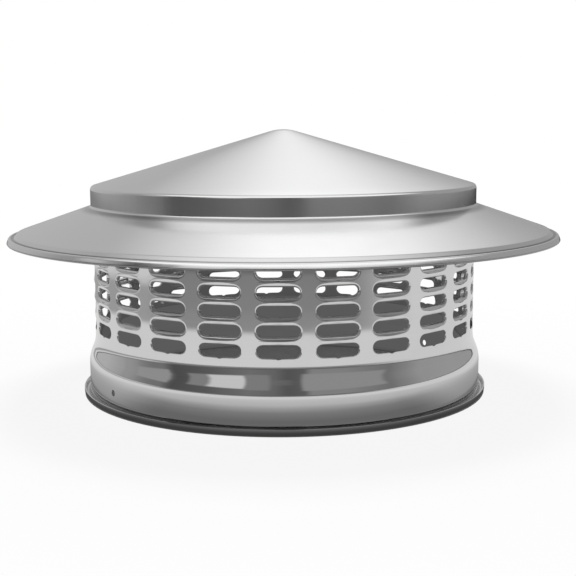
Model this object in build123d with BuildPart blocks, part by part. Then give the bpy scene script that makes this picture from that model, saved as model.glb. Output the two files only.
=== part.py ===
from build123d import *
import os
from math import cos, radians, sin, tan

# Chimney cap of thin stainless sheet for a round flue pipe. A pressed roof with a rolled rim
# sits on a slotted drum, whose flared collar slides over the end of the pipe.
# Millimetres, +Z up. The origin is on the axis, at the height that the foot stands on.
# Angles round the axis are counted from +X, so the front of the cap is at -90 degrees.

# Sheet and fits
sheet = 0.6  # thickness of both sheets
pipe_radius = 100.0  # outside of the flue pipe
pipe_clearance = 0.5  # pipe to collar, all round
roof_clearance = 0.1  # roof band over the drum, a push fit
seat_gap = 0.3  # top edge of the drum below the bend of the shoulder
front_angle = -90.0

# Foot, collar and flare
curl_radius = 1.85  # outside of the half turn at the foot
curl_lip_height = 3.3  # top of the turned-up edge
flare_foot_height = 19.3  # corner where the collar starts to narrow
flare_head_height = 27.0  # corner where it meets the drum
flare_bend_radius = 17.0

# Drum and its slots
drum_radius = 97.8  # outside of the slotted wall
slot_columns = 23
slot_rows = 5
slot_length = 20.0
slot_height = 6.2
slot_row_pitch = 8.75
slot_first_height = 36.5  # centre of the lowest row
slot_turn = -1.5  # middle column, in degrees from the front

# Screw holes in the collar
screw_radius = 1.6
screw_height = 9.6
screw_count = 2
screw_turn = -53.9  # first hole, in degrees from the front

# Roof
root_height = 95.55  # corner between the band and the brim
band_height = 9.85  # from there up to the corner between the band and the cone
shoulder_bend_radius = 2.0
cone_slope = 16.35
nose_radius = 24.0
root_bend_radius = 1.3
brim_slope = 19.0

# Rim of the roof
rim_radius = 140.0  # outside of the rolled bead
bead_radius = 1.65
bead_turn = 290.0  # how far the edge is rolled
knee_inset = 5.0  # bend where the brim drops, in from the rim
knee_bend_radius = 1.6
bead_drop = 3.4  # centre of the bead below the knee
crease_run = 0.7  # straight from the crease up to the bead
crease_rise = 25.0  # slope of that straight
crease_bend_radius = 0.5

# Sizes that follow from those above
socket_radius = pipe_radius + pipe_clearance
collar_radius = socket_radius + sheet
foot_radius = socket_radius + 2 * curl_radius
drum_inside_radius = drum_radius - sheet
shoulder_height = root_height + band_height
drum_top = shoulder_height - shoulder_bend_radius - seat_gap
band_radius = drum_radius + roof_clearance + sheet
slot_heights = [slot_first_height + row * slot_row_pitch for row in range(slot_rows)]


def polar_point(centre, radius, angle):
    """Point on a circle of a section, with the angle in degrees."""
    return centre[0] + radius * cos(radians(angle)), centre[1] + radius * sin(radians(angle))


def make_drum():
    """Foot, collar, flare and slotted wall, from one strip."""
    with BuildPart() as drum:
        # Section of the strip, drawn along the face that looks down and in
        with BuildSketch(Plane.XZ):
            with BuildLine():
                lip = Line((foot_radius, curl_lip_height), (foot_radius, curl_radius))
                curl = JernArc(start=lip @ 1, tangent=lip % 1, radius=curl_radius, arc_size=-180)
                FilletPolyline(
                    curl @ 1,
                    (socket_radius, flare_foot_height),
                    (drum_inside_radius, flare_head_height),
                    (drum_inside_radius, drum_top),
                    radius=flare_bend_radius,
                )
                offset(amount=sheet, side=Side.RIGHT)
            make_face()
        revolve(axis=Axis.Z)

        # One column of slots, punched again all round
        with BuildSketch(Plane.YZ.offset(drum_inside_radius - slot_length / 2)) as slot_column:
            with Locations(*[(0, height) for height in slot_heights]):
                SlotOverall(slot_length, slot_height)
        slot_punch = extrude(slot_column.sketch, amount=slot_length, mode=Mode.PRIVATE)
        with PolarLocations(0, slot_columns, start_angle=front_angle + slot_turn):
            add(slot_punch, mode=Mode.SUBTRACT)

        # Screw holes for fixing the collar to the pipe
        with BuildSketch(Plane.YZ.offset(socket_radius - screw_radius)) as screw_hole:
            with Locations((0, screw_height)):
                Circle(screw_radius)
        screw_punch = extrude(screw_hole.sketch, amount=2 * screw_radius + sheet, mode=Mode.PRIVATE)
        with PolarLocations(0, screw_count, start_angle=front_angle + screw_turn):
            add(screw_punch, mode=Mode.SUBTRACT)
    return drum


def make_roof():
    """Cone, band, brim and rolled rim, pressed from one disc."""
    cone_top_height = shoulder_height + band_radius * tan(radians(cone_slope))
    nose_centre = (0, cone_top_height - nose_radius / cos(radians(cone_slope)))
    knee_radius = rim_radius - knee_inset
    knee_height = root_height - (knee_radius - band_radius) * tan(radians(brim_slope))
    bead_centre = (rim_radius - bead_radius, knee_height - bead_drop)
    bead_start = polar_point(bead_centre, bead_radius, 90 + crease_rise)
    crease_corner = polar_point(bead_start, -crease_run, crease_rise)

    with BuildPart() as roof:
        # Section of the disc, drawn along its upper face from the nose to the rolled edge
        with BuildSketch(Plane.XZ):
            with BuildLine():
                nose = CenterArc(nose_centre, nose_radius, 90, -cone_slope)
                slopes = FilletPolyline(
                    nose @ 1,
                    (band_radius, shoulder_height),
                    (band_radius, root_height),
                    (knee_radius, knee_height),
                    crease_corner,
                    bead_start,
                    radius=[
                        shoulder_bend_radius,
                        root_bend_radius,
                        knee_bend_radius,
                        crease_bend_radius,
                    ],
                )
                JernArc(start=slopes @ 1, tangent=slopes % 1, radius=bead_radius, arc_size=-bead_turn)
                offset(amount=sheet, side=Side.RIGHT)
            make_face()
        revolve(axis=Axis.Z)
    return roof


os.makedirs("parts", exist_ok=True)
for name, builder in (("drum", make_drum()), ("roof", make_roof())):
    builder.part.label = name
    export_step(builder.part, f"parts/{name}.step")
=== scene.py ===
from math import atan2, ceil, cos, pi, radians, sin, tan

import bpy
from mathutils import Matrix, Vector


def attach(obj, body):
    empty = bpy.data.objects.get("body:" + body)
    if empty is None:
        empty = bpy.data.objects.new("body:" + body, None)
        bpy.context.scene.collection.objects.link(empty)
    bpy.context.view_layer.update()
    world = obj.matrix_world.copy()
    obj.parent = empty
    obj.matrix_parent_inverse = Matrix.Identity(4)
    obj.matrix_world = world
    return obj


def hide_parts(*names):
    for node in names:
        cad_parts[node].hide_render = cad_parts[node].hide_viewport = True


# Chimney cap of thin stainless sheet: a pressed roof with a rolled rim over a slotted drum.
# Section sizes are in millimetres and become metres in the meshes. The front is towards -Y.

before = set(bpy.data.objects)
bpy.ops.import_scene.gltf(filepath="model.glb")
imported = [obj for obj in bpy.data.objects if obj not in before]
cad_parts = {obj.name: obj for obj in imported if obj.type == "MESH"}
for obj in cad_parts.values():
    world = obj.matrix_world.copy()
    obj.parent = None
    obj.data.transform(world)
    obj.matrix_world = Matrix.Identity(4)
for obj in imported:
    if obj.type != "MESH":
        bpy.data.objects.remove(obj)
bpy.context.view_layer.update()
print("frame loaded, nodes:", len(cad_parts))

mm = 0.001
sheetMetal = {
    "thickness": 0.6,
    "weldDistance": 0.01,  # joins the sectors of a ring
    "sharpAngle": 38.0,  # degrees, for the cut edges
}


# small helpers for sections

def bentLine(corners, bends, stepAngle):
    # open line through the corners, each inner corner bent to its radius
    points = [Vector(corners[0])]
    for before, corner, after, bend in zip(corners, corners[1:], corners[2:], bends):
        here = Vector(corner)
        arrive = (here - Vector(before)).normalized()
        leave = (Vector(after) - here).normalized()
        turn = atan2(arrive.x * leave.y - arrive.y * leave.x, arrive.dot(leave))
        start = here - arrive * bend * tan(abs(turn) / 2)
        side = 1 if turn > 0 else -1
        centre = start + side * bend * Vector((-arrive.y, arrive.x))
        steps = max(2, ceil(abs(turn) / radians(stepAngle)))
        for step in range(steps + 1):
            points.append(centre + Matrix.Rotation(turn * step / steps, 2) @ (start - centre))
    points.append(Vector(corners[-1]))
    return points


def arcLine(centre, radius, startAngle, sweep, stepAngle):
    steps = max(2, ceil(abs(sweep) / stepAngle))
    angles = [radians(startAngle + sweep * step / steps) for step in range(steps + 1)]
    return [Vector((centre[0] + radius * cos(a), centre[1] + radius * sin(a))) for a in angles]


def fillRuns(points, longest):
    # extra points on straight runs, so that no face is much longer than it is wide
    filled = [points[0]]
    for start, end in zip(points, points[1:]):
        parts = max(1, ceil((end - start).length / longest))
        filled += [start.lerp(end, part / parts) for part in range(1, parts + 1)]
    return filled


def sectorMesh(name, vertices, faces):
    mesh = bpy.data.meshes.new(name)
    mesh.from_pydata([tuple(c * mm for c in v) for v in vertices], [], faces)
    mesh.update()
    sector = bpy.data.objects.new(name, mesh)
    bpy.context.scene.collection.objects.link(sector)
    return sector


def sweepSection(section, angles, vertices, faces):
    # the section turned through the sector's angles, faces to the left of its run from above
    first = len(vertices)
    across = len(angles)
    for point in section:
        vertices += [(point.x * cos(a), point.x * sin(a), point.y) for a in angles]
    for row in range(len(section) - 1):
        for column in range(across - 1):
            corner = first + row * across + column
            faces.append((corner, corner + 1, corner + across + 1, corner + across))


# small helpers for node trees

def newTree(name, kind, inputs, outputs):
    # a tree and the sockets that its named inputs and outputs have inside it
    tree = bpy.data.node_groups.new(name, kind)
    for sockets, direction in ((inputs, "INPUT"), (outputs, "OUTPUT")):
        for label, socket in sockets:
            tree.interface.new_socket(label, in_out=direction, socket_type="NodeSocket" + socket)
    given = tree.nodes.new("NodeGroupInput").outputs
    result = tree.nodes.new("NodeGroupOutput").inputs
    return tree, given, result


def addNode(tree, kind, inputs=None, **settings):
    # each input is a value, or the output of another node
    node = tree.nodes.new(kind)
    for name, setting in settings.items():
        setattr(node, name, setting)
    for socket, value in (inputs or {}).items():
        if isinstance(value, bpy.types.NodeSocket):
            tree.links.new(value, node.inputs[socket])
        else:
            node.inputs[socket].default_value = value
    return node


def groupNode(tree, group, inputs):
    return addNode(tree, "ShaderNodeGroup", inputs, node_tree=group).outputs[0]


def mathsNode(tree, operation, *values):
    inputs = dict(enumerate(values))
    return addNode(tree, "ShaderNodeMath", inputs, operation=operation).outputs[0]


def easeNode(tree, value, start, end, low=0.0, high=1.0):
    # eases from low at the start to high at the end
    inputs = {"Value": value, "From Min": start, "From Max": end, "To Min": low, "To Max": high}
    return addNode(tree, "ShaderNodeMapRange", inputs, interpolation_type="SMOOTHSTEP").outputs[0]


def greyColour(level):
    return (level, level, level, 1)


def mixNode(tree, share, first, second):
    colours = [greyColour(c) if isinstance(c, (int, float)) else c for c in (first, second)]
    inputs = {0: share, 6: colours[0], 7: colours[1]}
    return addNode(tree, "ShaderNodeMix", inputs, data_type="RGBA").outputs[2]


def mixShader(tree, share, first, second):
    inputs = {0: share, 1: first.outputs[0], 2: second.outputs[0]}
    return addNode(tree, "ShaderNodeMixShader", inputs)


def rampNode(tree, value, stops, start, end, top=1.0):
    # grey levels at places between start and end, as shares of the top level
    ramp = addNode(tree, "ShaderNodeValToRGB")
    elements = ramp.color_ramp.elements
    while len(elements) < len(stops):
        elements.new(0.5)
    for element, (place, level) in zip(elements, stops):
        element.position = (place - start) / (end - start)
        element.color = greyColour(level / top)
    share = mathsNode(tree, "DIVIDE", mathsNode(tree, "SUBTRACT", value, start), end - start)
    tree.links.new(share, ramp.inputs[0])
    return ramp.outputs[0]


def partsNode(tree, vector):
    return addNode(tree, "ShaderNodeSeparateXYZ", {0: vector}).outputs


def azimuthNode(tree, parts):
    # degrees from the front, positive to the right
    turn = mathsNode(tree, "ARCTAN2", parts[0], mathsNode(tree, "MULTIPLY", parts[1], -1))
    return mathsNode(tree, "DEGREES", turn)


# geometry nodes: one sector repeated round the axis

def buildRingTree():
    tree, given, result = newTree(
        "ringOfSectors",
        "GeometryNodeTree",
        (
            ("Geometry", "Geometry"),
            ("Sector", "Object"),
            ("Sectors", "Int"),
            ("Turn", "Float"),
            ("Weld", "Float"),
            ("Finish", "Material"),
        ),
        (("Geometry", "Geometry"),),
    )
    sector = addNode(tree, "GeometryNodeObjectInfo", {"Object": given["Sector"]})
    points = addNode(tree, "GeometryNodePoints", {"Count": given["Sectors"]})
    index = addNode(tree, "GeometryNodeInputIndex")
    pitch = mathsNode(tree, "DIVIDE", 2 * pi, given["Sectors"])
    angle = mathsNode(tree, "MULTIPLY_ADD", index.outputs[0], pitch, given["Turn"])
    turned = addNode(tree, "FunctionNodeAxisAngleToRotation", {"Axis": (0, 0, 1), "Angle": angle})
    copies = {
        "Points": points.outputs[0],
        "Instance": sector.outputs["Geometry"],
        "Rotation": turned.outputs[0],
    }
    ring = addNode(tree, "GeometryNodeInstanceOnPoints", copies)
    ring = addNode(tree, "GeometryNodeRealizeInstances", {0: ring.outputs[0]})
    welded = {"Geometry": ring.outputs[0], "Distance": given["Weld"]}
    ring = addNode(tree, "GeometryNodeMergeByDistance", welded)
    ring = addNode(tree, "GeometryNodeSetShadeSmooth", {"Geometry": ring.outputs[0]})
    finished = {"Geometry": ring.outputs[0], "Material": given["Finish"]}
    ring = addNode(tree, "GeometryNodeSetMaterial", finished)
    tree.links.new(ring.outputs[0], result[0])
    return tree


ringTree = buildRingTree()


def plainMesh(piece):
    # the piece with its modifiers made real
    bpy.context.view_layer.update()
    evaluated = piece.evaluated_get(bpy.context.evaluated_depsgraph_get())
    mesh = bpy.data.meshes.new_from_object(evaluated)
    piece.modifiers.clear()
    piece.data = mesh
    mesh.name = piece.name


def ringPiece(name, sector, sectors, turn, finish):
    piece = bpy.data.objects.new(name, bpy.data.meshes.new(name))
    bpy.context.scene.collection.objects.link(piece)
    ring = piece.modifiers.new("ringOfSectors", "NODES")
    ring.node_group = ringTree
    values = {
        "Sector": sector,
        "Sectors": sectors,
        "Turn": turn,
        "Weld": sheetMetal["weldDistance"] * mm,
        "Finish": finish,
    }
    for socket in ringTree.interface.items_tree:
        if socket.in_out == "INPUT" and socket.name in values:
            ring[socket.identifier] = values[socket.name]
    plainMesh(piece)
    bpy.data.objects.remove(sector)
    wall = piece.modifiers.new("wall", "SOLIDIFY")
    wall.thickness = sheetMetal["thickness"] * mm
    wall.offset = -1
    wall.use_even_offset = True
    plainMesh(piece)
    return piece


# shader groups that both finishes share

def buildRollingMarks():
    # fine lines that the mill leaves along the strip
    group, given, result = newTree(
        "rollingMarks",
        "ShaderNodeTree",
        (("Vector", "Vector"), ("Stretch", "Vector")),
        (("Marks", "Float"),),
    )
    factors = {0: given["Vector"], 1: given["Stretch"]}
    stretched = addNode(group, "ShaderNodeVectorMath", factors, operation="MULTIPLY")
    grain = {"Vector": stretched.outputs[0], "Scale": 1.0, "Detail": 5.0, "Roughness": 0.65}
    noise = addNode(group, "ShaderNodeTexNoise", grain)
    group.links.new(noise.outputs[0], result["Marks"])
    return group


def buildHandlingMarks():
    # dull smudges where the sheet was held and wiped: broad patches of finer streaks
    group, given, result = newTree(
        "handlingMarks",
        "ShaderNodeTree",
        (("Vector", "Vector"), ("Size", "Float"), ("Spread", "Float")),
        (("Mask", "Float"),),
    )
    finer, fullPatch = 7.0, 0.72
    patches = {"Vector": given["Vector"], "Scale": given["Size"], "Detail": 3.0, "Distortion": 0.6}
    broad = addNode(group, "ShaderNodeTexNoise", patches)
    fineScale = mathsNode(group, "MULTIPLY", given["Size"], finer)
    streaks = {"Vector": given["Vector"], "Scale": fineScale, "Detail": 6.0}
    fine = addNode(group, "ShaderNodeTexNoise", streaks)
    patch = easeNode(group, broad.outputs[0], given["Spread"], fullPatch)
    group.links.new(mathsNode(group, "MULTIPLY", patch, fine.outputs[0]), result["Mask"])
    return group


def buildRingMask():
    # how near a point is to a circle round the axis: 1 in its core, 0 past the width or over the top
    labels = ("Radius", "Height", "Width", "Core", "Top")
    group, given, result = newTree(
        "ringMask",
        "ShaderNodeTree",
        (("Vector", "Vector"), *[(label, "Float") for label in labels]),
        (("Mask", "Float"),),
    )
    topBlur = 0.2 * mm
    parts = partsNode(group, given["Vector"])
    squares = [mathsNode(group, "POWER", parts[axis], 2) for axis in (0, 1)]
    radius = mathsNode(group, "SQRT", mathsNode(group, "ADD", *squares))
    out = mathsNode(group, "SUBTRACT", radius, given["Radius"])
    up = mathsNode(group, "SUBTRACT", parts[2], given["Height"])
    squares = [mathsNode(group, "POWER", value, 2) for value in (out, up)]
    away = mathsNode(group, "SQRT", mathsNode(group, "ADD", *squares))
    share = mathsNode(group, "DIVIDE", away, given["Width"])
    near = easeNode(group, share, 1, given["Core"])
    over = mathsNode(group, "SUBTRACT", parts[2], given["Top"])
    mask = mathsNode(group, "MULTIPLY", near, easeNode(group, over, topBlur, -topBlur))
    group.links.new(mask, result["Mask"])
    return group


rollingMarks = buildRollingMarks()
handlingMarks = buildHandlingMarks()
ringMask = buildRingMask()


def steelFinish(name, look):
    material = bpy.data.materials.new(name)
    material.use_nodes = True
    tree = material.node_tree
    tree.nodes.clear()
    place = addNode(tree, "ShaderNodeTexCoord").outputs["Object"]
    marks = groupNode(tree, rollingMarks, {"Vector": place, "Stretch": look["stretch"]})
    handling = {"Vector": place, "Size": look["smudgeSize"], "Spread": look["smudgeSpread"]}
    smudges = groupNode(tree, handlingMarks, handling)

    # colour: nearly even, a little darker along the marks and under the smudges
    terms = {0: smudges, 1: -look["smudgeShade"], 2: marks}
    light = addNode(tree, "ShaderNodeMath", terms, operation="MULTIPLY_ADD", use_clamp=True)
    colour = mixNode(tree, light.outputs[0], (*look["dark"], 1), (*look["light"], 1))

    # roughness: the mill finish, more under the smudges
    grain = {
        "Value": marks,
        "From Min": 0.3,
        "From Max": 0.7,
        "To Min": look["roughness"] - look["grainRoughness"],
        "To Max": look["roughness"] + look["grainRoughness"],
    }
    grainRough = addNode(tree, "ShaderNodeMapRange", grain).outputs[0]
    rough = mathsNode(tree, "MULTIPLY_ADD", smudges, look["smudgeRoughness"], grainRough)

    # painted shade in the groove at the foot, the crease, the foot of the band and under the rolled
    # rim: darker, and rougher in the groove at the foot
    for ring in look["rings"]:
        circle = {label.title(): ring[label] * mm for label in ("radius", "height", "width", "top")}
        mask = groupNode(tree, ringMask, {"Vector": place, "Core": ring["core"]} | circle)
        colour = mixNode(tree, mathsNode(tree, "MULTIPLY", mask, ring["shade"]), colour, 0.0)
        rough = mathsNode(tree, "MULTIPLY_ADD", mask, ring["roughness"], rough)

    # relief: the sheet's slight waves, then the marks
    waves = {"Vector": place, "Scale": look["waveScale"], "Detail": 2.0}
    waves = addNode(tree, "ShaderNodeTexNoise", waves).outputs[0]
    relief = {"Height": waves, "Distance": look["waveHeight"] * mm}
    relief = addNode(tree, "ShaderNodeBump", relief).outputs[0]
    relief = {"Height": marks, "Distance": look["markHeight"] * mm, "Normal": relief}
    relief = addNode(tree, "ShaderNodeBump", relief).outputs[0]
    steel = {"Metallic": 1.0, "Base Color": colour, "Roughness": rough, "Normal": relief}
    steel = addNode(tree, "ShaderNodeBsdfPrincipled", steel)
    addNode(tree, "ShaderNodeOutputMaterial", {0: steel.outputs[0]})
    return material


drumLook = {
    "dark": (0.735, 0.735, 0.735),
    "light": (0.79, 0.79, 0.79),
    "roughness": 0.05,
    "grainRoughness": 0.015,
    "stretch": (18.0, 18.0, 1400.0),  # lines run round the drum
    "smudgeSize": 16.0,
    "smudgeSpread": 0.5,
    "smudgeShade": 0.6,
    "smudgeRoughness": 0.08,
    "waveScale": 26.0,
    "waveHeight": 0.05,
    "markHeight": 0.0006,
    # circles of painted shade round the axis in millimetres, with the core as a share of the width
    "rings": (
        # painted shade in the groove, which is also rougher
        {  # groove at the foot
            "radius": 102.0, "height": 1.9, "width": 1.9, "top": 4,
            "core": 0.3, "shade": 0.42, "roughness": 0.3,
        },
    ),
}
roofLook = {
    "dark": (0.75, 0.75, 0.75),
    "light": (0.80, 0.80, 0.80),
    "roughness": 0.16,
    "grainRoughness": 0.02,
    "stretch": (14.0, 900.0, 14.0),  # lines run across the disc that it was pressed from
    "smudgeSize": 9.0,
    "smudgeSpread": 0.5,
    "smudgeShade": 0.6,
    "smudgeRoughness": 0.10,
    "waveScale": 14.0,
    "waveHeight": 0.05,
    "markHeight": 0.0008,
    # circles of painted shade round the axis, as for the drum
    "rings": (
        # painted shade on the brim below the band
        {  # foot of the band
            "radius": 100.4, "height": 94.9, "width": 4.6, "top": 95.4,
            "core": 0, "shade": 0.6, "roughness": 0,
        },
        # painted shade in the crease
        {  # crease
            "radius": 137.2, "height": 80.9, "width": 1.3, "top": 85,
            "core": 0.3, "shade": 0.75, "roughness": 0,
        },
        # painted shade under the rolled rim
        {  # underside of the rolled rim
            "radius": 139.2, "height": 77.6, "width": 1.9, "top": 79,
            "core": 0.6, "shade": 0.6, "roughness": 0,
        },
    ),
}
drumFinish = steelFinish("brightSteel", drumLook)
roofFinish = steelFinish("satinSteel", roofLook)
print("finishes made")


# drum: foot, collar, flare and slotted wall from one strip

drumSizes = {
    "wallRadius": 97.8,
    "topHeight": 103.1,
    "collarRadius": 101.1,
    "lipRadius": 103.6,  # inner face of the turned-up edge
    "lipHeight": 3.3,
    "grooveHeight": 1.87,  # centre of the half turn
    "grooveStep": 15,  # degrees
    "flareFoot": 19.3,
    "flareHead": 27.4,
    "flareBend": 17.0,
    "flareStep": 2.4,  # degrees
    "longestRun": 3.5,
    "longestTopRun": 5,
    "columns": 23,
    "columnTurn": -1.5,  # degrees of the middle column from the front
    "rows": 5,
    "firstRow": 36.85,
    "rowPitch": 8.75,
    "slotStraight": 7.0,  # half of the straight part
    "bendStart": 3.6,  # half height where the sheet starts to turn in
    "bendSteps": 5,
    "opening": 2.3,  # half height between the lips
    "lipDepth": 2.0,
    "bendDepth": 1.2,
    "shoulder": 3.95,  # ring of points round the bend
    "endStart": 3.45,  # the same three along the slot, from the end of its straight part
    "endOpening": 2.8,
    "endShoulder": 3.85,
    "endParts": 8,  # parts of a slot's round end
    "webCrown": 0.16,  # how far the strip between rows is drawn in at the slots
    "lowestRow": {
        "shoulder": 3.6,
        "bendStart": 3.2,
        "opening": 2.65,
        "bendDepth": 0.9,
        "lipDepth": 1.1,
    },
    "flatEdge": 3.0,  # lower edge of the lowest row, which has no lip
    "edgeRoll": 0.13,
    "rollDepth": 1.6,  # depth of that edge, as a share of its roll
    "nick": 0.6,  # small bite at the middle of that edge
    "nickAtShoulder": 0.35,  # share of the bite that the ring round the bend has
    "nickWidth": 0.2,  # half width, as a share of half the straight part
}
screwSizes = {
    "radius": 1.6,
    "height": 9.6,
    "turns": (-53.9, 126.1),  # degrees from the front
    "sides": 32,
    "reach": 4.0,  # how far the drill goes in and out of the wall
}


alongShares = (-1, -0.5, -0.18, -0.09, 0, 0.09, 0.18, 0.5, 1)  # points on a slot's straight part


def slotRing(sizes, height, flatHeight, reach, depth, flatDepth, drawn, bottomRow, bite):
    # one closed line of points round a slot: (along, up, depth), counter-clockwise from outside
    half = sizes["slotStraight"]
    parts = sizes["endParts"]
    ends = [radians(-90 + 180 * part / parts) for part in range(1, parts)]
    crowns = [drawn * sizes["webCrown"] * cos(pi * share / 2) ** 2 for share in alongShares]
    width = sizes["nickWidth"]
    ring = []
    for share, crown in zip(alongShares, crowns):
        if bottomRow:
            nick = bite * sizes["nick"] * cos(pi / 2 * share / width) if abs(share) < width else 0
            ring.append((share * half, -flatHeight - nick, flatDepth))
        else:
            ring.append((share * half, -height, depth + crown))

    def endPoint(side, angle):
        lift = min(1, 1 + sin(angle)) if bottomRow else 1  # the lip grows up from the flat edge
        tall = flatHeight + (height - flatHeight) * lift
        deep = flatDepth + (depth - flatDepth) * lift
        return side * (half + reach * cos(angle)), tall * sin(angle), deep

    ring += [endPoint(1, angle) for angle in ends]
    for share, crown in zip(reversed(alongShares), crowns):
        ring.append((share * half, height, depth + crown))
    ring += [endPoint(-1, angle) for angle in reversed(ends)]
    return ring


def cellRings(sizes, halfWidth, bottomRow):
    # from the cell's rectangle in over the bend to the end of the lip
    half, tall = sizes["slotStraight"], sizes["rowPitch"] / 2
    middle = (half + halfWidth) / 2
    side = [(middle, -tall), (halfWidth, -tall), (halfWidth, -tall / 2), (halfWidth, 0)]
    side += [(halfWidth, tall / 2), (halfWidth, tall), (middle, tall)]
    outer = [(share * half, -tall, 0) for share in alongShares] + [(*p, 0) for p in side]
    outer += [(-u, -up, 0) for u, up, deep in outer]
    start, opening = sizes["bendStart"], sizes["opening"]
    endStart, endOpening = sizes["endStart"], sizes["endOpening"]
    flat, roll = sizes["flatEdge"], sizes["edgeRoll"]
    shoulder, bite = sizes["shoulder"], sizes["nickAtShoulder"]
    drawn = ((tall - shoulder) / (tall - start)) ** 2
    endShoulder = sizes["endShoulder"]
    rings = [outer]
    rings.append(slotRing(sizes, shoulder, shoulder, endShoulder, 0, 0, drawn, bottomRow, bite))
    for step in range(sizes["bendSteps"] + 1):
        inward = sin(pi / 2 * step / sizes["bendSteps"])
        down = 1 - cos(pi / 2 * step / sizes["bendSteps"])
        height = start - (start - opening) * inward
        reach = endStart - (endStart - endOpening) * inward
        flatHeight = flat + roll - roll * inward
        depths = sizes["bendDepth"] * down, roll * down
        rings.append(slotRing(sizes, height, flatHeight, reach, *depths, 1, bottomRow, 1))
    depths = sizes["lipDepth"], sizes["rollDepth"] * roll
    rings.append(slotRing(sizes, opening, flat, endOpening, *depths, 1, bottomRow, 1))
    return rings


def buildDrum(sizes):
    wallRadius = sizes["wallRadius"]
    halfWidth = pi / sizes["columns"] * wallRadius
    half = sizes["slotStraight"]
    vertices, faces = [], []

    middle = (half + halfWidth) / 2
    across = [-halfWidth, -middle] + [share * half for share in alongShares] + [middle, halfWidth]
    angles = [u / wallRadius for u in across]

    collarRadius, lipRadius = sizes["collarRadius"], sizes["lipRadius"]
    grooveCentre = ((collarRadius + lipRadius) / 2, sizes["grooveHeight"])
    grooveRadius = (lipRadius - collarRadius) / 2
    slotsBottom = sizes["firstRow"] - sizes["rowPitch"] / 2
    slotsTop = slotsBottom + sizes["rows"] * sizes["rowPitch"]
    section = [Vector((lipRadius, sizes["lipHeight"]))]
    section += arcLine(grooveCentre, grooveRadius, 0, -180, sizes["grooveStep"])
    section += bentLine(
        [
            (collarRadius, sizes["grooveHeight"] + 1),
            (collarRadius, sizes["flareFoot"]),
            (wallRadius, sizes["flareHead"]),
            (wallRadius, slotsBottom),
        ],
        [sizes["flareBend"]] * 2,
        sizes["flareStep"],
    )
    sweepSection(fillRuns(section, sizes["longestRun"]), angles, vertices, faces)
    wallTop = [Vector((wallRadius, slotsTop)), Vector((wallRadius, sizes["topHeight"]))]
    sweepSection(fillRuns(wallTop, sizes["longestTopRun"]), angles, vertices, faces)

    for row in range(sizes["rows"]):
        height = sizes["firstRow"] + row * sizes["rowPitch"]
        rings = cellRings(sizes if row else sizes | sizes["lowestRow"], halfWidth, row == 0)
        count = len(rings[0])
        first = len(vertices)
        for ring in rings:
            for u, up, depth in ring:
                angle, reach = u / wallRadius, wallRadius - depth
                vertices.append((reach * cos(angle), reach * sin(angle), height + up))
        for level in range(len(rings) - 1):
            outside, inside = first + level * count, first + (level + 1) * count
            for step in range(count):
                after = (step + 1) % count
                faces.append((outside + step, outside + after, inside + after, inside + step))

    turn = radians(-90 + sizes["columnTurn"])
    sector = sectorMesh("drumSector", vertices, faces)
    return ringPiece("slotted_drum", sector, sizes["columns"], turn, drumFinish)


def drillScrewHoles(piece, sizes, wallRadius):
    sides, reach = sizes["sides"], sizes["reach"]
    vertices, faces = [], []
    for turn in sizes["turns"]:
        angle = radians(-90 + turn)
        out = Vector((cos(angle), sin(angle), 0))
        along = Vector((-sin(angle), cos(angle), 0))
        first = len(vertices)
        for end in (-1, 1):
            for step in range(sides):
                a = 2 * pi * step / sides
                centre = out * (wallRadius + end * reach) + Vector((0, 0, sizes["height"]))
                vertices.append(centre + sizes["radius"] * (along * cos(a) + Vector((0, 0, sin(a)))))
        faces.append([first + step for step in reversed(range(sides))])
        faces.append([first + sides + step for step in range(sides)])
        for step in range(sides):
            after = (step + 1) % sides
            faces.append((first + step, first + after, first + sides + after, first + sides + step))
    drill = sectorMesh("screwDrill", vertices, faces)
    cut = piece.modifiers.new("screwHoles", "BOOLEAN")
    cut.operation = "DIFFERENCE"
    cut.solver = "EXACT"
    cut.object = drill
    plainMesh(piece)
    bpy.data.objects.remove(drill)


drum = buildDrum(drumSizes)
drillScrewHoles(drum, screwSizes, drumSizes["collarRadius"])
print("drum made, faces:", len(drum.data.polygons))


# roof: cone, band, brim and rolled rim from one disc

roofSizes = {
    "sectors": 48,
    "partsPerSector": 4,
    "noseRadius": 24.0,
    "noseStep": 2.75,  # degrees
    "coneSlope": 16.35,
    "bandRadius": 98.5,
    "shoulderHeight": 105.4,
    "shoulderBend": 2.0,
    "rootHeight": 95.55,
    "rootBend": 1.3,
    "bendStep": 7,  # degrees
    "longestRun": 8,
    "brimSlope": 19.0,
    "rimRadius": 139.97,
    "kneeInset": 5.0,
    "kneeBend": 1.6,
    "beadRadius": 1.65,
    "beadTurn": 290.0,
    "beadStep": 11,  # degrees
    "beadDrop": 3.4,
    # rolled edge, from its centre: over the top, down the flat flank, round the tight lower edge
    "beadTop": ((-0.3, 1.62), (0.05, 1.63), (0.4, 1.54), (0.68, 1.37), (0.85, 1.13)),
    "beadFlank": ((1.03, 0.76), (1.2, 0.38), (1.35, 0.02), (1.48, -0.32)),
    "beadEdge": (
        (1.59, -0.6), (1.65, -0.83), (1.6, -1.06), (1.44, -1.29), (1.16, -1.48), (0.8, -1.6),
        (0.4, -1.65),
    ),
    "creaseRun": 0.7,
    "creaseRise": 25.0,
    "creaseBend": 0.5,
}


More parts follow.
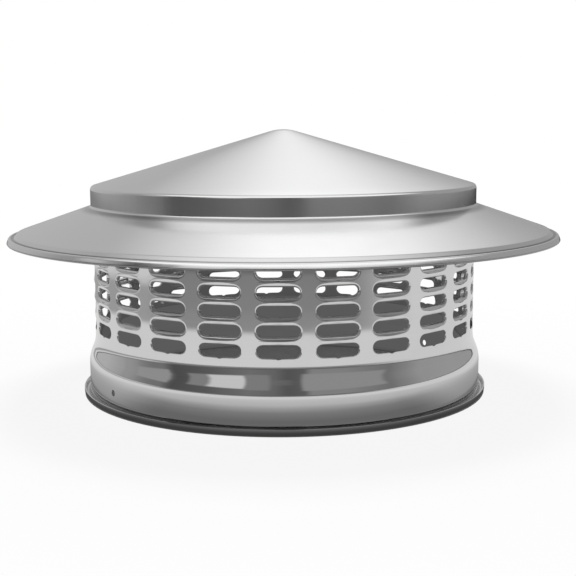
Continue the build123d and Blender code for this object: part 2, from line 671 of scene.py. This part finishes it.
def buildRoof(sizes):
    band, slope = sizes["bandRadius"], radians(sizes["coneSlope"])
    coneTop = sizes["shoulderHeight"] + band * tan(slope)
    nose = sizes["noseRadius"]
    noseCentre = (0, coneTop - nose / cos(slope))
    kneeRadius = sizes["rimRadius"] - sizes["kneeInset"]
    kneeHeight = sizes["rootHeight"] - (kneeRadius - band) * tan(radians(sizes["brimSlope"]))
    bead = sizes["beadRadius"]
    beadCentre = Vector((sizes["rimRadius"] - bead, kneeHeight - sizes["beadDrop"]))
    rise = radians(sizes["creaseRise"])
    startAngle = 90 + sizes["creaseRise"]
    beadStart = beadCentre + bead * Vector((cos(radians(startAngle)), sin(radians(startAngle))))
    crease = beadStart - sizes["creaseRun"] * Vector((cos(rise), sin(rise)))
    noseLine = arcLine(noseCentre, nose, 90, -sizes["coneSlope"], sizes["noseStep"])
    slopes = bentLine(
        [
            noseLine[-1],
            (band, sizes["shoulderHeight"]),
            (band, sizes["rootHeight"]),
            (kneeRadius, kneeHeight),
            crease,
            beadStart,
        ],
        [sizes["shoulderBend"], sizes["rootBend"], sizes["kneeBend"], sizes["creaseBend"]],
        sizes["bendStep"],
    )
    outside = sizes["beadTop"] + sizes["beadFlank"] + sizes["beadEdge"]
    rolled = [beadCentre + Vector(point) for point in outside]
    endAngle = startAngle - sizes["beadTurn"]
    rolled += arcLine(beadCentre, bead, -90, endAngle + 90, sizes["beadStep"])
    section = noseLine + fillRuns(slopes, sizes["longestRun"])[1:] + rolled

    parts = sizes["partsPerSector"]
    step = 2 * pi / sizes["sectors"] / parts
    angles = [(part - parts / 2) * step for part in range(parts + 1)]
    vertices, faces = [(0, 0, section[0].y)], []
    sweepSection(list(reversed(section[1:])), angles, vertices, faces)
    inner = len(vertices) - len(angles)
    faces += [(0, inner + part, inner + part + 1) for part in range(parts)]
    sector = sectorMesh("roofSector", vertices, faces)
    return ringPiece("pressed_roof", sector, sizes["sectors"], radians(-90), roofFinish)


roof = buildRoof(roofSizes)
print("roof made, faces:", len(roof.data.polygons))

for piece, node, slotName in ((drum, "drum", "drum_steel"), (roof, "roof", "roof_steel")):
    piece.data.set_sharp_from_angle(angle=radians(sheetMetal["sharpAngle"]))
    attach(piece, "root")
    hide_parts(node)


# floor: white paper to the camera, and to the steel the tones of a room's floor, with a painted
# shadow of the cap round the foot

floorTones = {
    "discRadius": 2.5,
    "discSides": 96,
    "reach": 1.5,  # metres to the end of the tones that the steel mirrors
    # (metres from the axis, level) in front, at the left and at the right
    "front": (
        (0.325, 0.76), (0.345, 0.32), (0.45, 0.27), (0.60, 0.26), (0.68, 0.13), (1.5, 0.13),
    ),
    "left": (
        (0.33, 0.76), (0.35, 0.39), (0.50, 0.39), (0.58, 0.72), (0.85, 0.72), (1.1, 0.21),
    ),
    "right": ((0.85, 0.74), (1.1, 0.05)),
    "sides": ((-60, -80), (30, 74)),  # degrees where the front gives way to left and right
    "shadowReach": 0.25,  # metres to the end of the dimness under the cap
    # (metres from the axis, share) in that painted shadow of the cap, in front and at both sides
    "shadowFront": (
        (0.099, 0.18), (0.102, 0.07), (0.108, 0.08), (0.115, 0.22), (0.124, 0.22), (0.139, 0.33),
        (0.148, 0.55), (0.154, 0.72), (0.183, 0.95), (0.20, 1),
    ),
    "shadowSides": (
        (0.099, 0.18), (0.102, 0.07), (0.108, 0.12), (0.115, 0.47), (0.1235, 0.52), (0.133, 0.58),
        (0.142, 0.67), (0.154, 0.83), (0.183, 0.96), (0.20, 1),
    ),
    "shadowTurn": (42, 72),  # degrees where the front's shares give way to the sides'
    "paper": 0.9,
    "plainRing": (0.11, 0.40),  # metres where the camera sees more and more of plain white
    "leastWhite": 0.90,
    "footRadius": 0.104,
    "insideWhite": 0.03,  # the same within the foot
}


def buildFloor(tones):
    mesh = bpy.data.meshes.new("floor")
    sides, radius = tones["discSides"], tones["discRadius"]
    corners = [2 * pi * side / sides for side in range(sides)]
    disc = [(radius * cos(a), radius * sin(a), 0) for a in corners]
    mesh.from_pydata(disc, [], [list(range(sides))])
    floor = bpy.data.objects.new("floor", mesh)
    bpy.context.scene.collection.objects.link(floor)
    material = bpy.data.materials.new("paperFloor")
    material.use_nodes = True
    tree = material.node_tree
    tree.nodes.clear()
    place = addNode(tree, "ShaderNodeTexCoord").outputs["Object"]
    away = addNode(tree, "ShaderNodeVectorMath", {0: place}, operation="LENGTH").outputs["Value"]
    azimuth = azimuthNode(tree, partsNode(tree, place))

    # what the steel mirrors: the floor glows with these tones, darkened near the foot by a painted
    # shadow of the cap
    reach = tones["reach"]
    ramps = [rampNode(tree, away, tones[side], 0, reach) for side in ("front", "left", "right")]
    toLeft, toRight = [easeNode(tree, azimuth, *limits) for limits in tones["sides"]]
    tone = mixNode(tree, toRight, mixNode(tree, toLeft, ramps[0], ramps[1]), ramps[2])
    # painted shadow of the cap on the floor near the foot
    reach = tones["shadowReach"]
    near = [rampNode(tree, away, tones[side], 0, reach) for side in ("shadowFront", "shadowSides")]
    aside = easeNode(tree, mathsNode(tree, "ABSOLUTE", azimuth), *tones["shadowTurn"])
    tone = mathsNode(tree, "MULTIPLY", tone, mixNode(tree, aside, *near))
    mirrored = addNode(tree, "ShaderNodeEmission", {"Color": tone})

    # what the camera sees: paper with a faint shadow, plain white farther off
    paper = addNode(tree, "ShaderNodeBsdfDiffuse", {"Color": greyColour(tones["paper"])})
    white = addNode(tree, "ShaderNodeEmission", {"Strength": 1.0})
    rays = addNode(tree, "ShaderNodeLightPath").outputs
    outside = mathsNode(tree, "GREATER_THAN", away, tones["footRadius"])
    share = easeNode(tree, away, *tones["plainRing"], tones["leastWhite"], 1)
    share = mathsNode(tree, "MULTIPLY", share, outside)
    share = mathsNode(tree, "MAXIMUM", share, tones["insideWhite"])
    share = mathsNode(tree, "MULTIPLY", share, rays["Is Camera Ray"])
    seen = mixShader(tree, share, paper, white)
    mixed = mixShader(tree, rays["Is Glossy Ray"], seen, mirrored)
    addNode(tree, "ShaderNodeOutputMaterial", {0: mixed.outputs[0]})
    mesh.materials.append(material)


# surroundings: plain white to the camera, and to the steel a room with windows

surroundings = {
    "brightest": 1.3,
    # (degrees from the front, level) for the walls of the room, positive to the right
    "walls": (
        (-180, 0.44), (-160, 0.51), (-125, 0.50), (-108, 0.40), (-92, 0.20), (-75, 0.20),
        (-66, 0.09), (-45, 0.12), (-20, 0.19), (-6, 0.16), (2, 0.11), (11, 0.13), (15, 0.27),
        (35, 0.27), (62, 0.20), (85, 0.36), (110, 0.38), (150, 0.36), (180, 0.42),
    ),
    # windows and pale furniture: (from, to) in degrees, (from, to) degrees up, level
    "windows": (
        ((-95, -70), (12, 32), 0.34),
        ((-93, -79), (22, 29), 0.62),
        ((-9, 4), (30, 45), 0.18),
        ((-58, -45), (17, 36), 0.26),
        ((-45.5, -23), (17.5, 60), 0.68),
        ((-23, -9), (15, 60), 0.25),
        ((10, 60), (13, 60), 0.32),
    ),
    "windowEdge": 2.0,  # degrees of softness, each way
    "ceiling": (31, 38),  # degrees up where the bright ceiling starts and is full, in front
    "ceilingDrop": 3,  # degrees lower at the right, higher at the left
    "ceilingTone": ((0, 1.3), (48, 1.3), (58, 1.06), (90, 1.06)),  # (degrees up, level)
    "behind": (-0.2, 0.3),  # from here to here in Y the front gives way to what is behind
    "glowPlace": (174, 50),  # middle of the soft lamp behind the cap: degrees round and up
    "glowShape": (1.3, 0.85),  # narrower and taller than a round one
    # (degrees from its middle, level)
    "glow": (
        (0, 1.3), (8, 1.25), (14, 1.08), (18, 0.91), (22, 0.78), (27, 0.61), (31, 0.49),
        (38, 0.39), (45, 0.36),
    ),
    "plainLevel": 0.18,  # light on the paper from all round
}


def windowMask(tree, azimuth, up, sides, heights, edge):
    (left, right), (low, high) = sides, heights
    mask = easeNode(tree, azimuth, left - edge, left + edge)
    mask = mathsNode(tree, "MULTIPLY", mask, easeNode(tree, azimuth, right + edge, right - edge))
    mask = mathsNode(tree, "MULTIPLY", mask, easeNode(tree, up, low - edge, low + edge))
    return mathsNode(tree, "MULTIPLY", mask, easeNode(tree, up, high + edge, high - edge))


def glowLevel(tree, direction, levels):
    # an oval of light round its middle, in the plane that faces it
    azimuth, up = [radians(angle) for angle in levels["glowPlace"]]
    wide, tall = levels["glowShape"]
    offsets = []
    for axis in (
        wide * Vector((cos(azimuth), sin(azimuth), 0)),
        tall * Vector((-sin(azimuth) * sin(up), cos(azimuth) * sin(up), cos(up))),
    ):
        factors = {0: direction, 1: axis}
        along = addNode(tree, "ShaderNodeVectorMath", factors, operation="DOT_PRODUCT")
        offsets.append(mathsNode(tree, "POWER", along.outputs["Value"], 2))
    aside = mathsNode(tree, "SQRT", mathsNode(tree, "ADD", *offsets))
    stops = [(sin(radians(angle)), level) for angle, level in levels["glow"]]
    return rampNode(tree, aside, stops, 0, stops[-1][0], levels["brightest"])


def buildWorld(levels):
    world = bpy.data.worlds.new("studio")
    bpy.context.scene.world = world
    world.use_nodes = True
    tree = world.node_tree
    tree.nodes.clear()
    direction = addNode(tree, "ShaderNodeTexCoord").outputs["Generated"]
    parts = partsNode(tree, direction)
    azimuth = azimuthNode(tree, parts)
    up = mathsNode(tree, "DEGREES", mathsNode(tree, "ARCSINE", parts[2]))
    top = levels["brightest"]

    # all levels are shares of the brightest until the light leaves the world
    level = rampNode(tree, azimuth, levels["walls"], -180, 180, top)
    for sides, heights, bright in levels["windows"]:
        mask = windowMask(tree, azimuth, up, sides, heights, levels["windowEdge"])
        level = mixNode(tree, mask, level, bright / top)
    drop = mathsNode(tree, "MULTIPLY", parts[0], levels["ceilingDrop"])
    share = easeNode(tree, mathsNode(tree, "ADD", up, drop), *levels["ceiling"])
    front = mixNode(tree, share, level, rampNode(tree, up, levels["ceilingTone"], 0, 90, top))
    layers = {0: 1.0, 6: level, 7: glowLevel(tree, direction, levels)}
    back = addNode(tree, "ShaderNodeMix", layers, data_type="RGBA", blend_type="LIGHTEN")
    tone = mixNode(tree, easeNode(tree, parts[1], *levels["behind"]), front, back.outputs[2])

    mirrored = addNode(tree, "ShaderNodeBackground", {"Color": tone, "Strength": top})
    dim = {"Color": greyColour(1), "Strength": levels["plainLevel"]}
    plain = addNode(tree, "ShaderNodeBackground", dim)
    white = addNode(tree, "ShaderNodeBackground", {"Color": greyColour(1), "Strength": 1.0})
    rays = addNode(tree, "ShaderNodeLightPath").outputs
    reflected = mixShader(tree, rays["Is Glossy Ray"], plain, mirrored)
    seen = mixShader(tree, rays["Is Camera Ray"], reflected, white)
    addNode(tree, "ShaderNodeOutputWorld", {0: seen.outputs[0]})


# lamp and camera

overhead = {
    "place": (0.0, 0.49, 1.5),
    "aim": (0, 0, 0.05),
    "size": 0.6,
    "energy": 20.0,
}
view = {
    "place": (0.0, -0.580, 0.13611),
    "lookDown": 0.14583,  # radians
    "lookRight": 0.00360,
    "tilt": -0.00602,
    "focalPixels": 1119.34,
    "pictureWidth": 576,
    "sensorWidth": 36.0,
}


def addLamp(name, setting):
    data = bpy.data.lights.new(name, "AREA")
    data.size = setting["size"]
    data.energy = setting["energy"]
    lamp = bpy.data.objects.new(name, data)
    bpy.context.scene.collection.objects.link(lamp)
    lamp.location = setting["place"]
    ray = Vector(setting["aim"]) - Vector(setting["place"])
    lamp.rotation_euler = ray.to_track_quat("-Z", "Y").to_euler()
    lamp.visible_glossy = False  # the surroundings already hold its reflection


def addCamera(setting):
    down, aside, tilt = setting["lookDown"], setting["lookRight"], setting["tilt"]
    forward = Vector((sin(aside) * cos(down), cos(aside) * cos(down), -sin(down)))
    right = Vector((cos(aside), -sin(aside), 0))
    up = right.cross(forward)
    tilted = right * cos(tilt) + up * sin(tilt)
    upright = up * cos(tilt) - right * sin(tilt)
    data = bpy.data.cameras.new("camera")
    data.sensor_width = setting["sensorWidth"]
    data.lens = setting["focalPixels"] * setting["sensorWidth"] / setting["pictureWidth"]
    camera = bpy.data.objects.new("camera", data)
    bpy.context.scene.collection.objects.link(camera)
    turned = Matrix((tilted, upright, -forward)).transposed().to_4x4()
    camera.matrix_world = Matrix.Translation(setting["place"]) @ turned
    bpy.context.scene.camera = camera


buildFloor(floorTones)
buildWorld(surroundings)
addLamp("overheadLamp", overhead)
addCamera(view)
bpy.context.scene.view_settings.view_transform = "Standard"
print("floor, surroundings, lamp and camera made")
